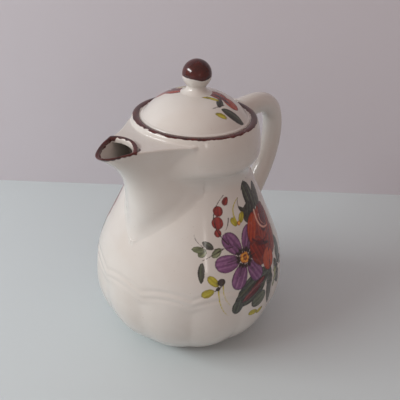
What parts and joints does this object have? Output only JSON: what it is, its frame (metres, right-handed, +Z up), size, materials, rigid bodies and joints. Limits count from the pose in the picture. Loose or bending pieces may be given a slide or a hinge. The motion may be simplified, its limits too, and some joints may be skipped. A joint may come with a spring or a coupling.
{
  "type": "chocolate pot",
  "caption": "Glazed earthenware chocolate pot with a gadrooned pear-shaped body, beak spout, looped handle and a lift-off domed lid with a ball knob.",
  "frame": {"origin": "centre of the foot, in the plane that the pot stands on", "axes": "+Z up along the axis of the pot, -X towards the spout, +X towards the handle"},
  "size_m": [0.1518, 0.115, 0.1679],
  "materials": {
    "cream_glaze": "glossy glaze with painted flowers",
    "spout_glaze": "glossy glaze, maroon edge",
    "handle_glaze": "glossy glaze",
    "lid_glaze": "glossy glaze with painted flowers",
    "maroon_glaze": "glossy maroon glaze over cream"
  },
  "bodies": {
    "pot": {"pot_body": "cream_glaze", "spout": "spout_glaze", "handle": "handle_glaze"},
    "lid": {"lid": "lid_glaze", "knob": "maroon_glaze"}
  },
  "joints": [
    {"name": "lid_lift", "type": "slide", "parent": "pot", "child": "lid", "axis": [0, 0, 1], "range_m": [0, 0.07]}
  ]
}
